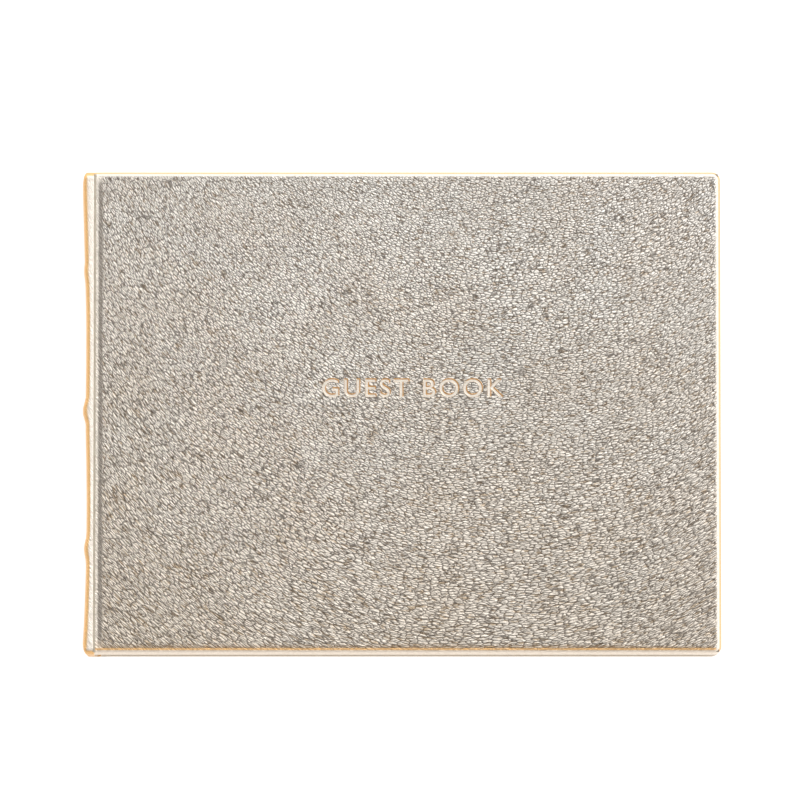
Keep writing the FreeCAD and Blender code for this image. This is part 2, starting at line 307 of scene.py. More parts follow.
def apply_modifier(obj, kind, **settings):
    pick(obj)
    modifier = obj.modifiers.new(kind.lower(), kind)
    for key, value in settings.items():
        setattr(modifier, key, value)
    bpy.ops.object.modifier_apply(modifier=modifier.name)
    return obj


def smooth(obj, degrees=35):
    pick(obj)
    bpy.ops.object.shade_smooth_by_angle(angle=math.radians(degrees))
    return obj


def thicken(obj, thickness, offset=-1.0, even=True):
    return apply_modifier(obj, "SOLIDIFY", thickness=thickness, offset=offset, use_even_offset=even)


def ease(t):
    """0 to 1 with a soft start and end."""
    t = min(max(t, 0.0), 1.0)
    return t * t * (3 - 2 * t)


print("finishing tools ready")

# %% [markdown]
# ## Grain and other effects as node groups
# Pebbled leather is a skin of small domes with creases between them. A Voronoi texture's distance to
# its cell edges gives exactly that: low in the crease and high on the dome. The domes are stretched
# along the way the hide was pulled, so the coordinates are warped by a broad noise, turned and
# squeezed first. Noise that is stretched the same way joins neighbouring domes into short ridges, and
# says where a painted sheen goes on the foil. The group puts out a height for the Bump node, a crease
# mask, which the leather uses for painted shade, and the ridges as Dome, and each material takes what
# it needs.

# %% Helpers for node groups
def new_group(name, takes, gives):
    """An empty node group. takes and gives are {name: (socket kind, default)}."""
    group = bpy.data.node_groups.new(name, "ShaderNodeTree")
    for label, (kind, default) in takes.items():
        socket = group.interface.new_socket(label, in_out="INPUT", socket_type="NodeSocket" + kind)
        if default is not None:
            socket.default_value = default
    for label, (kind, _) in gives.items():
        group.interface.new_socket(label, in_out="OUTPUT", socket_type="NodeSocket" + kind)
    return group, group.nodes.new("NodeGroupInput").outputs, group.nodes.new("NodeGroupOutput").inputs


def place_group(tree, group, inputs):
    return add(tree, "Group", inputs, node_tree=group).outputs


def vector_math(tree, operation, a, b):
    return add(tree, "VectorMath", {0: a, 1: b}, operation=operation).outputs[0]


def in_millimetres(tree, where):
    return vector_math(tree, "MULTIPLY", where, (1000, 1000, 1000))


def noise(tree, where, scale, detail):
    return add(tree, "TexNoise", {"Vector": where, "Scale": scale, "Detail": detail}).outputs


def warp(tree, where, cause, reach):
    """Pushes a place about by a noise's colour, by up to half of reach either way."""
    push = vector_math(tree, "SUBTRACT", cause["Color"], (0.5, 0.5, 0.5))
    push = vector_math(tree, "MULTIPLY", push, (reach, reach, reach))
    return vector_math(tree, "ADD", where, push)


print("group helpers ready")

# %% The pull of the hide
# down to the right on the spine side, turning level and a little up at the fore edge
pull_at_spine, pull_at_fore_edge = math.radians(44), math.radians(-10)

pebble_grain, given, made = new_group(
    "pebble grain",
    {"Vector": ("Vector", None), "Dome width": ("Float", 1.3), "Stretch": ("Float", 1.5)},
    {"Height": ("Float", None), "Crease": ("Float", None), "Dome": ("Float", None)},
)
millimetres = in_millimetres(pebble_grain, given["Vector"])
# a broad noise sways the whole hide, and a fine one makes each crease uneven
pulled = warp(pebble_grain, millimetres, noise(pebble_grain, millimetres, 0.014, 1.0), 9)
pulled = warp(pebble_grain, pulled, noise(pebble_grain, millimetres, 0.35, 3.0), 0.5)
across = add(pebble_grain, "SeparateXYZ", {0: millimetres}).outputs["X"]
turn = remap(pebble_grain, across, -120, 120, pull_at_spine, pull_at_fore_edge, soft=False)
turned = add(pebble_grain, "VectorRotate", {"Vector": pulled, "Angle": turn}, rotation_type="Z_AXIS")
width = math_node(pebble_grain, "DIVIDE", 1.0, given["Dome width"])
length = math_node(pebble_grain, "DIVIDE", width, given["Stretch"])
squeeze = add(pebble_grain, "CombineXYZ", {"X": length, "Y": width, "Z": width})
cells = vector_math(pebble_grain, "MULTIPLY", turned.outputs[0], squeeze.outputs[0])
print("nodes for the pull:", len(pebble_grain.nodes))

# %% Domes, creases and ridges
edges = add(pebble_grain, "TexVoronoi", {"Vector": cells, "Scale": 1.0}, feature="DISTANCE_TO_EDGE")
small = add(pebble_grain, "TexVoronoi", {"Vector": cells, "Scale": 2.0}, feature="F1")
wrinkle = noise(pebble_grain, cells, 2.6, 3.0)["Fac"]
patch = noise(pebble_grain, millimetres, 0.09, 2.0)["Fac"]
streak_way = vector_math(pebble_grain, "MULTIPLY", cells, (0.85, 1.3, 1.3))
streaks = noise(pebble_grain, streak_way, 1.0, 2.0)["Fac"]

depth = remap(pebble_grain, patch, 0.3, 0.7, 0.92, 1.0)
crease = remap(pebble_grain, edges.outputs["Distance"], 0.0, 0.17, 1.0, 0.0)
crease = math_node(pebble_grain, "MULTIPLY", crease, depth)
rise = remap(pebble_grain, edges.outputs["Distance"], 0.0, 0.34, 0.0, 0.9)
height = math_node(pebble_grain, "MULTIPLY", rise, depth)
pits = remap(pebble_grain, small.outputs["Distance"], 0.1, 0.75, 0.0, -0.5)
lumps = remap(pebble_grain, wrinkle, 0.3, 0.7, 0.0, 0.2)
ridges = remap(pebble_grain, streaks, 0.38, 0.62, 0.0, 0.9)
for part in (pits, lumps, ridges):
    height = math_node(pebble_grain, "ADD", height, part)
pebble_grain.links.new(height, made["Height"])
pebble_grain.links.new(crease, made["Crease"])
pebble_grain.links.new(streaks, made["Dome"])
print("nodes in the pebble grain:", len(pebble_grain.nodes))

# %% Slow colour change
clouding, given, made = new_group(
    "clouding",
    {"Vector": ("Vector", None), "Spread": ("Float", 30.0)},
    {"Value": ("Float", None)},
)
spread = math_node(clouding, "DIVIDE", 1.0, given["Spread"])
clouds = noise(clouding, in_millimetres(clouding, given["Vector"]), spread, 3.0)["Fac"]
clouding.links.new(remap(clouding, clouds, 0.3, 0.7), made["Value"])
print("nodes in the clouding:", len(clouding.nodes))

# %% Paper fibre
paper_fibre, given, made = new_group(
    "paper fibre",
    {"Vector": ("Vector", None), "Fibre": ("Float", 0.5)},
    {"Height": ("Float", None), "Fleck": ("Float", None)},
)
millimetres = in_millimetres(paper_fibre, given["Vector"])
size = math_node(paper_fibre, "DIVIDE", 1.0, given["Fibre"])
felt = noise(paper_fibre, millimetres, size, 4.0)["Fac"]
long_way = vector_math(paper_fibre, "MULTIPLY", millimetres, (0.35, 1.6, 1.6))
threads = noise(paper_fibre, long_way, size, 2.0)["Fac"]
both = math_node(paper_fibre, "ADD", felt, threads)
paper_fibre.links.new(math_node(paper_fibre, "MULTIPLY", both, 0.5), made["Height"])
paper_fibre.links.new(remap(paper_fibre, threads, 0.62, 0.8), made["Fleck"])
print("nodes in the paper fibre:", len(paper_fibre.nodes))

# %% Plain weave
plain_weave, given, made = new_group(
    "plain weave",
    {"Vector": ("Vector", None), "Thread": ("Float", 0.4)},
    {"Height": ("Float", None), "Gap": ("Float", None)},
)
apart = add(plain_weave, "SeparateXYZ", {0: in_millimetres(plain_weave, given["Vector"])}).outputs
step = math_node(plain_weave, "DIVIDE", math.pi, given["Thread"])
waves = [math_node(plain_weave, "SINE", math_node(plain_weave, "MULTIPLY", apart[way], step)) for way in "YZ"]
threads = [math_node(plain_weave, "ABSOLUTE", wave) for wave in waves]
over = math_node(plain_weave, "MAXIMUM", *threads)
plain_weave.links.new(over, made["Height"])
plain_weave.links.new(remap(plain_weave, over, 0.1, 0.6, 1.0, 0.0), made["Gap"])
print("node groups:", [g.name for g in bpy.data.node_groups])

# %% [markdown]
# ## Foil leather
# A goat hide with a thin metal foil pressed on it: a champagne sheen on the flat of the grain, a lighter
# painted sheen on its ridges, warm gold painted over the edges as a painted reflection, brown painted
# shade in the creases, and painted shade that darkens it towards the tail and the spine. The shader is
# metallic and half rough. An image would repeat and would not follow the edges, so the grain is noise,
# and each leather piece carries attributes: one is 1 where gold is painted over an edge as a painted
# reflection, and on the title's walls as painted shade; taut is 1 where the hide is pulled or pressed
# smooth; and one more is 1 where a band of painted shade darkens the foil.

# %% Helpers for materials
def new_material(name, colour):
    material = bpy.data.materials.new(name)
    material.use_nodes = True
    material.diffuse_color = (*colour, 1)
    tree = material.node_tree
    where = add(tree, "TexCoord").outputs["Object"]
    return material, tree, tree.nodes["Principled BSDF"], where


def mix_colour(tree, share, a, b):
    made = add(tree, "Mix", {"Factor": share}, data_type="RGBA")
    for index, value in ((6, a), (7, b)):
        if isinstance(value, bpy.types.NodeSocket):
            tree.links.new(value, made.inputs[index])
        else:
            made.inputs[index].default_value = (*value, 1)
    return made.outputs[2]


def raise_bumps(tree, shader, height, strength, depth):
    bump = add(tree, "Bump", {"Height": height, "Strength": strength, "Distance": depth})
    tree.links.new(bump.outputs[0], shader.inputs["Normal"])


print("material helpers ready")

# %% Foil leather
champagne, painted_sheen_champagne, smooth_foil = (0.49, 0.41, 0.33), (1.0, 0.96, 0.905), (0.84, 0.78, 0.70)
foil_gold_and_reflection, painted_dark_brown, painted_shade_tan = (0.84, 0.51, 0.22), (0.07, 0.05, 0.035), (0.48, 0.34, 0.18)
grain_size = {"Dome width": 0.86, "Stretch": 2.4}  # the width is in millimetres
grain_depth = 0.44 * MM

foil_leather, tree, shader, where = new_material("foil leather", champagne)
painted_reflection = add(tree, "Attribute", attribute_name="painted_reflection").outputs["Fac"]
taut = add(tree, "Attribute", attribute_name="taut").outputs["Fac"]
painted_shade = add(tree, "Attribute", attribute_name="painted_shade").outputs["Fac"]
slack = math_node(tree, "SUBTRACT", 1.0, taut, clamp=True)
grain = place_group(tree, pebble_grain, {"Vector": where, **grain_size})
cloud = place_group(tree, clouding, {"Vector": where, "Spread": 26.0})["Value"]
place = add(tree, "SeparateXYZ", {0: where}).outputs
# painted shade: the foil is coloured darker and duller towards the tail and the spine, away from the light
tail_side_shade = remap(tree, place["Y"], 0.07, -0.09, 0.0, 0.32, soft=False)
spine_side_shade = remap(tree, place["X"], -0.03, -0.117, 0.0, 0.10, soft=False)
# painted shade: the creases of the grain are coloured dark brown, less where the hide is taut
crease_shade = math_node(tree, "MULTIPLY", grain["Crease"], remap(tree, slack, 0.0, 1.0, 0.04, 0.84, soft=False))

# painted sheen: the ridges of the grain are coloured near white, where the foil would shine
colour = mix_colour(tree, remap(tree, grain["Dome"], 0.355, 0.465), champagne, painted_sheen_champagne)
for share, tint in (
    (math_node(tree, "MULTIPLY", cloud, 0.08), foil_gold_and_reflection),
    (math_node(tree, "ADD", tail_side_shade, spine_side_shade), painted_shade_tan),
    (taut, smooth_foil),
    (crease_shade, painted_dark_brown),
    # painted shade: a dull dark band along the tail and in the joints' grooves
    (math_node(tree, "MULTIPLY", painted_shade, 0.62), painted_dark_brown),
    # painted reflection: warm gold where the surface turns over an edge, and painted shade on the title's
    # walls
    (painted_reflection, foil_gold_and_reflection),
):
    colour = mix_colour(tree, share, colour, tint)
tree.links.new(colour, shader.inputs["Base Color"])
shader.inputs["Metallic"].default_value = 0.85
tree.links.new(remap(tree, grain["Crease"], 0.0, 1.0, 0.30, 0.55), shader.inputs["Roughness"])
relief = math_node(tree, "MULTIPLY", grain["Height"], remap(tree, slack, 0.0, 1.0, 0.06, 1.0, soft=False))
raise_bumps(tree, shader, relief, 1.0, grain_depth)
print("foil leather nodes:", len(tree.nodes))

# %% Marks that a material reads
def mark(obj, name, measure):
    """Stores measure(vertex), eased between 0 and 1, as an attribute of the mesh."""
    mesh = obj.data
    attribute = mesh.attributes.new(name, "FLOAT", "POINT")
    attribute.data.foreach_set("value", [ease(measure(v)) for v in mesh.vertices])
    return obj


print("marks ready")

# %% [markdown]
# ## The covers
# Each cover is a board in a leather jacket: the leather rolls over the head, tail and fore edge, turns
# in by fifteen millimetres underneath, and is mitred at the corners. It could be one solid block, but
# then an open cover would show no turn-ins. So a block of the jacket's size gets its corners rounded,
# its upper rim rolled with a wide bevel, drawn down a little further than it is wide, and its lower rim
# with a tight one. The underside is cut along the turn-ins and opened, and the skin is thickened
# inwards. One more cut along the tail gives the line of painted shade along the tail its edge. The back
# cover is a mirrored copy.

# %% The jacket's sizes
turn_in, jacket_skin = 15 * MM, 0.56 * MM
rim_roll, rim_drop, rim_tuck, corner_round = 2.4 * MM, 3.36 * MM, 0.6 * MM, 3.0 * MM
mitre_width, mitre_depth = 0.16 * MM, 0.14 * MM
tail_shade = 1.7  # how far in from the tail the painted shade reaches, in widths of the rolled rim
jacket_low, jacket_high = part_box("front_cover_leather")
middle_height = (low.z + high.z) / 2
print("jacket in millimetres:", [round(side / MM, 2) for side in jacket_high - jacket_low])

# %% Rolling the rims
def level(edge, height):
    return all(near(v.co.z, height) for v in edge.verts)


def on_hinge_side(edge):
    return all(near(v.co.x, jacket_low.x) for v in edge.verts)


def fore_corner(edge):
    at_fore_edge = all(near(v.co.x, jacket_high.x) for v in edge.verts)
    return at_fore_edge and not near(edge.verts[0].co.z, edge.verts[1].co.z)


def roll_rims(obj):
    """Rounds the fore corners and rolls both rims. The hinge side stays square."""
    choose(obj, "EDGE", fore_corner)
    bpy.ops.mesh.bevel(offset=corner_round, segments=8, affect="EDGES")
    choose(obj, "EDGE", lambda e: level(e, jacket_high.z) and not on_hinge_side(e))
    bpy.ops.mesh.bevel(offset=rim_roll, segments=14, affect="EDGES")
    choose(obj, "VERT", lambda v: v.co.z > jacket_high.z - 1.01 * rim_roll)
    bpy.ops.transform.resize(value=(1, 1, rim_drop / rim_roll), center_override=(0, 0, jacket_high.z))
    choose(obj, "EDGE", lambda e: level(e, jacket_low.z) and not on_hinge_side(e))
    bpy.ops.mesh.bevel(offset=rim_tuck, segments=4, affect="EDGES")


print("rims roll by", round(rim_roll / MM, 2), "mm")

# %% Opening the underside
def cut(obj, test, place, direction):
    """Bisects the faces that pass the test with one plane."""
    choose(obj, "FACE", test)
    bpy.ops.mesh.bisect(plane_co=place, plane_no=direction)


def on_top(face):
    return face.normal.z > 0.99 and near(middle(face).z, jacket_high.z)


def underneath(face):
    return face.normal.z < -0.99 and near(middle(face).z, jacket_low.z)


inner_x, inner_y = jacket_high.x - turn_in, jacket_high.y - turn_in


def open_underside(obj):
    """Cuts the underside along the three turn-ins and takes its middle out."""
    cut(obj, underneath, (inner_x, 0, 0), (1, 0, 0))
    inner = lambda f: underneath(f) and middle(f).x < inner_x
    cut(obj, inner, (0, inner_y, 0), (0, 1, 0))
    cut(obj, inner, (0, -inner_y, 0), (0, 1, 0))
    choose(obj, "FACE", lambda f: inner(f) and abs(middle(f).y) < inner_y)
    bpy.ops.mesh.delete(type="FACE")


print("turn-ins reach in by", round(turn_in / MM, 2), "mm")

# %% Mitred corners
def mitre(obj, side):
    """Presses a fine seam where two turn-ins meet at a corner."""
    corner, slant = Vector((inner_x, side * inner_y, 0)), Vector((1, -side, 0)).normalized()
    cut(obj, lambda f: underneath(f) and middle(f).x > inner_x, corner, slant)
    seam = lambda e: level(e, jacket_low.z) and all(near((v.co - corner).dot(slant), 0) for v in e.verts)
    choose(obj, "EDGE", seam)
    bpy.ops.mesh.bevel(offset=mitre_width, segments=2, affect="EDGES")
    choose(obj, "EDGE", seam)
    bpy.ops.transform.translate(value=(0, 0, mitre_depth))


print("mitres pressed in by", round(mitre_depth / MM, 2), "mm")

# %% The two jackets
front_jacket = block("front_cover_jacket", jacket_low, jacket_high)
take(front_jacket)
roll_rims(front_jacket)
cut(front_jacket, on_top, (0, -jacket_high.y + tail_shade * rim_roll, 0), (0, 1, 0))
open_underside(front_jacket)
for side in (1, -1):
    mitre(front_jacket, side)
put_down(front_jacket)

pick(front_jacket)
bpy.ops.object.duplicate()
back_jacket = bpy.context.object
back_jacket.name = "back_cover_jacket"
take(back_jacket)
bpy.ops.mesh.select_all(action="SELECT")
bpy.ops.transform.resize(value=(1, 1, -1), center_override=(0, 0, middle_height))
bpy.ops.mesh.flip_normals()
put_down(back_jacket)
for jacket in (front_jacket, back_jacket):
    thicken(jacket, jacket_skin)
    smooth(jacket, 40)
print("jacket faces:", len(front_jacket.data.polygons))

# %% [markdown]
# ## The title
# The title is pressed into the leather with a hot die, with no ink: a shallow recess with smooth,
# rounded walls. Cutting the letters out would leave hard edges, so the leather is pressed instead. The
# top of the cover gets a fine mesh where the title goes, a Vertex Weight Proximity modifier weighs
# each vertex by how near it is to the letters, and a Displace modifier pushes it down by that weight.

# %% The title's letters
title_width, title_up = 66 * MM, 9.1 * MM
title_middle = Vector(((jacket_low.x + jacket_high.x) / 2, title_up, jacket_high.z))

pick_nothing()
bpy.ops.object.text_add(location=(0, 0, 0))
letters = bpy.context.object
letters.name = "title letters"
letters.data.body = "GUEST BOOK"
letters.data.align_x, letters.data.align_y = "CENTER", "CENTER"
letters.data.size = 9.5 * MM
letters.data.space_character = 1.22
letters.data.resolution_u = 16
letters.data.offset = -0.06 * MM  # a little thinner than the font draws them
bpy.ops.object.convert(target="MESH")
letters = bpy.context.object
bpy.context.view_layer.update()
natural = letters.dimensions
centre = sum((Vector(c) for c in letters.bound_box), Vector()) / 8
fit = title_width / natural.x
for v in letters.data.vertices:
    v.co = title_middle + (v.co - centre) * fit
letters.data.update()
print("title in millimetres:", round(natural.x * fit / MM, 1), "x", round(natural.y * fit / MM, 1))

# %% A fine mesh for the title
grid_step, margin = 0.15 * MM, 2.5 * MM
half_x, half_y = title_width / 2 + margin, natural.y * fit / 2 + margin
west, east = title_middle.x - half_x, title_middle.x + half_x
south, north = title_middle.y - half_y, title_middle.y + half_y


def in_field(co):
    return west - MM / 100 < co.x < east + MM / 100 and south - MM / 100 < co.y < north + MM / 100


def field_edge(edge):
    return all(near(v.co.z, jacket_high.z) and in_field(v.co) for v in edge.verts)


take(front_jacket)
column = lambda f: on_top(f) and west < middle(f).x < east
cut(front_jacket, on_top, (west, 0, 0), (1, 0, 0))
cut(front_jacket, lambda f: on_top(f) and middle(f).x > west, (east, 0, 0), (1, 0, 0))
cut(front_jacket, column, (0, south, 0), (0, 1, 0))
cut(front_jacket, lambda f: column(f) and middle(f).y > south, (0, north, 0), (0, 1, 0))
for turn in range(2):  # the operator makes at most 100 cuts at once, so the long way is cut twice
    choose(front_jacket, "EDGE", lambda e: field_edge(e) and near(e.verts[0].co.y, e.verts[1].co.y))
    bpy.ops.mesh.subdivide(number_cuts=round(math.sqrt(2 * half_x / grid_step)) - 1)
choose(front_jacket, "EDGE", lambda e: field_edge(e) and near(e.verts[0].co.x, e.verts[1].co.x))
bpy.ops.mesh.subdivide(number_cuts=round(2 * half_y / grid_step) - 1)
put_down(front_jacket)
print("cover faces with the fine mesh:", len(front_jacket.data.polygons))

# %% Pressing the title
press_depth, press_wall = 0.50 * MM, 0.34 * MM  # how deep it is, and how wide its rounded walls are
field = [v.index for v in front_jacket.data.vertices if near(v.co.z, jacket_high.z) and in_field(v.co)]
title_rows = set(field)
front_jacket.vertex_groups.new(name="pressed").add(field, 1.0, "REPLACE")
apply_modifier(
    front_jacket, "VERTEX_WEIGHT_PROXIMITY", vertex_group="pressed", target=letters,
    proximity_mode="GEOMETRY", proximity_geometry={"FACE"}, min_dist=press_wall, max_dist=0.0,
    falloff_type="SMOOTH",
)
apply_modifier(
    front_jacket, "DISPLACE", vertex_group="pressed", direction="Z", mid_level=0.0, strength=-press_depth
)
bpy.data.objects.remove(letters)
print("title mesh:", len(field), "vertices, lowest",
      round((jacket_high.z - min(front_jacket.data.vertices[i].co.z for i in field)) / MM, 2), "mm down")

# %% Where gold is painted as a reflection
def from_rim(v):
    """How far a point of a cover is in from its rims, in widths of the rolled rim."""
    x_in, y_in = jacket_high.x - v.co.x, jacket_high.y - abs(v.co.y)
    if max(x_in, y_in) < corner_round:
        return (corner_round - math.hypot(corner_round - x_in, corner_round - y_in)) / rim_roll
    return min(x_in, y_in) / rim_roll


def rim_painted_reflection(inside, at_tail):
    """Painted reflection in gold: along the roll at the tail, at its foot elsewhere."""
    if not at_tail:
        return min((0.46 - inside) / 0.3, 0.85)
    return (1.06 - inside) / 0.2 if inside > 0.8 else max((inside - 0.52) / 0.26, 0.25)


def title_wall_shade(v):
    """1 on the walls of the pressed title that face the reader or the spine: painted shade in gold."""
    if v.index not in title_rows or v.co.z < middle_height:
        return 0.0
    return -(0.6 * v.normal.x + 0.8 * v.normal.y) / 0.35


def cover_painted_reflection(v):
    at_tail = v.co.y < 0 and jacket_high.y - abs(v.co.y) < jacket_high.x - v.co.x
    return max(rim_painted_reflection(from_rim(v), at_tail), title_wall_shade(v))


print("gold at the foot of a rim:", rim_painted_reflection(0, False), "and at the tail's:", rim_painted_reflection(0, True))

# %% Where shade is painted, or the foil is smooth
def cover_painted_shade(v):
    """Painted shade: a thin dark line along the tail, just inside the rolled rim."""
    if v.co.y > 0 or v.co.x > jacket_high.x - corner_round or v.index in title_rows:
        return 0.0
    inside = from_rim(v)
    return 0.75 * min((inside - 0.82) / 0.14, (tail_shade - inside) / 0.6, 1.0)


def cover_taut(v):
    down = (jacket_high.z - v.co.z) / press_depth if v.index in title_rows and v.co.z > middle_height else 0
    return max((1.0 - from_rim(v)) / 0.5, 1.5 * down)


print("foil is dull as far as", round(tail_shade * rim_roll / MM, 2), "mm from the tail")

# %% Finishing the covers
for jacket, node, body in (
    (front_jacket, "front_cover_leather", "front_cover"),
    (back_jacket, "back_cover_leather", "back_cover"),
):
    smooth(jacket, 40)
    apply_modifier(jacket, "WEIGHTED_NORMAL", keep_sharp=True, weight=50)
    mark(jacket, "painted_reflection", cover_painted_reflection)
    mark(jacket, "taut", cover_taut)
    mark(jacket, "painted_shade", cover_painted_shade)
    jacket.data.materials.append(foil_leather)
    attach(jacket, body)
    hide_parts(node)
print("covers done:", len(front_jacket.data.polygons), len(back_jacket.data.polygons))

# %% [markdown]
# ## The joints
# Between the board and the spine the leather dips into a groove, where the cover bends when it opens.
# A flat sheet could be pushed down to make it. Drawing the groove's cross-section once as a line, from
# the edge of the cover down into the groove and up to the crease beside the spine, is more exact, and
# sweeping it from tail to head keeps the faces in rows across the bend. At both ends it rolls down as
# the cover's rim does.

# %% The groove
hide_thickness = 0.5 * MM
joint_width = 3.65 * MM
crease_x = jacket_low.x - joint_width
tail_y, head_y = low.y, high.y
# each point is (distance from the cover's edge, drop below its face), in millimetres
groove = [(0, 0), (0.25, 0.02), (0.5, 0.08), (0.8, 0.19), (1.1, 0.31), (1.4, 0.43), (1.7, 0.55), (1.95, 0.64),
          (2.15, 0.69), (2.35, 0.69), (2.55, 0.64), (2.75, 0.57), (2.95, 0.52), (3.1, 0.51), (3.22, 0.58),
          (3.34, 0.75), (3.46, 0.97), (3.56, 1.17), (3.65, 1.35)]
print("groove in millimetres:", groove[-1][0], "wide,", max(drop for _, drop in groove), "deep")

# %% Rolled ends
def end_stations(length, roll, steps, plain_steps=24):
    """Places along Y that crowd where the leather rolls over at both ends."""
    rolled = [roll * (1 - math.sin(math.pi / 2 * i / steps)) for i in range(steps + 1)]
    plain = [roll + (length / 2 - roll) * i / plain_steps for i in range(plain_steps + 1)]
    half = [length / 2 - d for d in rolled + plain]
    half = sorted(set(round(h, 8) for h in half if h > 1e-9))
    return [-h for h in reversed(half)] + [0.0] + half


def roll_down(distance, roll):
    """How far a rolled end has dropped at a distance from the end."""
    if distance >= roll:
        return 0.0
    return roll - math.sqrt(max(roll**2 - (roll - distance) ** 2, 0.0))


print("stations along a joint:", len(end_stations(head_y - tail_y, rim_roll, 14)))

# %% Sweeping the joint
lip_drop, lip_in, lip_reach = 0.2 * MM, 0.6 * MM, 2.2 * MM


def joint_skin(name, upper):
    points = [Vector((jacket_low.x - d * MM, tail_y, jacket_high.z - drop * MM)) for d, drop in groove]
    obj = draw_line(name, points)
    sweep(obj, end_stations(head_y - tail_y, rim_roll, 14))
    for v in obj.data.vertices:
        foot = jacket_high.z - rim_drop - 0.25 * (jacket_high.z - v.co.z)  # where the rolled end stops
        v.co.z += (foot - v.co.z) * roll_down(head_y - abs(v.co.y), rim_roll) / rim_roll
    take(obj)
    for side in (1, -1):
        choose(obj, "EDGE", lambda e: all(near(v.co.y, side * head_y) for v in e.verts))
        for move in ((0, 0, -lip_drop), (0, -side * lip_in, -lip_drop), (0, -side * lip_reach, 0)):
            bpy.ops.mesh.extrude_region_move(TRANSFORM_OT_translate={"value": move})
    put_down(obj)
    if not upper:
        for v in obj.data.vertices:
            v.co.z = 2 * middle_height - v.co.z
    up = Vector((0, 0, 1 if upper else -1))
    point_outwards(obj, lambda place: up)
    return thicken(obj, hide_thickness, even=False)


front_joint, back_joint = joint_skin("front_joint_skin", True), joint_skin("back_joint_skin", False)
print("joint faces:", len(front_joint.data.polygons))

# %% Finishing the joints
def joint_taut(v):
    """The hide is drawn smooth in the groove, and keeps its grain beside the board."""
    return 0.65 * ease((jacket_low.x - v.co.x) / (1.2 * MM))


def joint_painted_shade(v):
    """Painted shade on the groove's side that rises to the board."""
    across = (jacket_low.x - v.co.x) / MM
    return min((across - 0.3) / 0.8, (2.6 - across) / 0.7, (head_y - abs(v.co.y) - rim_roll) / rim_roll)


for joint, node, body in (
    (front_joint, "front_joint_leather", "front_cover"),
    (back_joint, "back_joint_leather", "back_cover"),
):
    smooth(joint, 60)
    # painted reflection: gold on the rolled ends, as on the covers' rims
    mark(joint, "painted_reflection", lambda v: rim_painted_reflection((head_y - abs(v.co.y)) / rim_roll, v.co.y < 0))
    mark(joint, "taut", lambda v: max((1.0 - (head_y - abs(v.co.y)) / rim_roll) / 0.5, joint_taut(v)))
    mark(joint, "painted_shade", joint_painted_shade)
    joint.data.materials.append(foil_leather)
    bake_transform(joint)
    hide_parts(node)
print("joints done:", front_joint.name, back_joint.name)

# %% [markdown]
# ## The spine
# The spine's leather is a shallow arc with a rounded shoulder at each joint. Three cords under it raise
# soft bands, it draws in a little between them, and it flares and rolls over at the head and the tail.
# The cross-section is drawn from crease to crease and swept along the book. The sweep can't give the
# waist, the bands and the rolled ends, so its vertices are then moved in code, by where they are.

# %% The spine's cross-section
spine_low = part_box("spine_leather")[0]
arc_middle = Vector((spine_low.x + 32.9 * MM, 0, middle_height))
back_x = spine_low.x + 1.40 * MM
# each point is (distance out from the crease, drop below the cover's face), in millimetres
shoulder = [(0.0, 1.35), (0.06, 1.08), (0.14, 0.84), (0.26, 0.66), (0.42, 0.56), (0.62, 0.48), (0.84, 0.41),
            (1.06, 0.365), (1.28, 0.35), (1.50, 0.38), (1.72, 0.48), (1.94, 0.66), (2.16, 0.94), (2.36, 1.34),
            (2.52, 1.86)]
upper_shoulder = [Vector((crease_x - d * MM, tail_y, jacket_high.z - drop * MM)) for d, drop in shoulder]
top_z = upper_shoulder[-1].z - middle_height
swell = upper_shoulder[-1].x - back_x
arc = [
    Vector((back_x + swell * abs(t) ** 3, tail_y, middle_height + top_z * t))
    for t in (1 - i / 14 for i in range(1, 28))
]
lower_shoulder = [Vector((p.x, p.y, 2 * middle_height - p.z)) for p in reversed(upper_shoulder)]
spine_line = upper_shoulder + arc + lower_shoulder
print("points round the spine:", len(spine_line))

# %% The waist, the bands and the flared ends
cap_round = 4.2 * MM
spine_half_height = 12.2 * MM
# (place along the spine from its middle, how far its back stands out from the narrowest part)
flare = [(-89, 1.5), (-86, 1.4), (-78, 0.9), (-67, 0.5), (-58, 0.25), (-45, 0.1), (-35, 0.0),
         (-20, 0.15), (-5, 0.5), (5, 0.5), (15, 0.35), (35, 0.35), (44, 0.55), (56, 0.95),
         (69, 1.3), (82, 1.7), (89, 1.75)]
# (place along the spine, how far the cord stands out, half of its width)
band_bumps = [(52.1, 0.36, 4.2), (0.9, 1.05, 5.0), (-49.9, 0.8, 5.2)]


def along(table, place):
    """Reads a value from a table of (place, value), in a straight line between its rows."""
    for (a, va), (b, vb) in zip(table, table[1:]):
        if place <= b:
            t = min(max((place - a) / (b - a), 0.0), 1.0)
            return va + (vb - va) * t
    return table[-1][1]


def shape_spine(v):
    """Pushes the back out by the flare and the bands, and rolls it in at the head and the tail."""
    y = v.co.y
    lift = min(max((v.co.z - middle_height) / spine_half_height, -1.0), 1.0)
    back = 1 - ease((abs(lift) - 0.6) / 0.4)
    out = sum(along(flare, y / MM + d) for d in (-4, -2, 0, 2, 4)) / 5
    for place, proud, half_width in band_bumps:
        t = abs(y / MM - place) / half_width
        if t < 1:
            out += proud * (0.5 + 0.5 * math.cos(math.pi * t)) ** 0.8
    from_crease = (crease_x - v.co.x) / (2.2 * MM)
    v.co.x -= out * MM * ease(from_crease)
    inward = Vector((math.sqrt(max(1 - lift**2, 0)), 0, -lift))
    roll = rim_roll + (cap_round - rim_roll) * back
    v.co += inward * roll_down(head_y - abs(y), roll) * (back + (1 - back) * rim_drop / rim_roll)


print("bands at, in millimetres:", [place for place, _, _ in band_bumps])

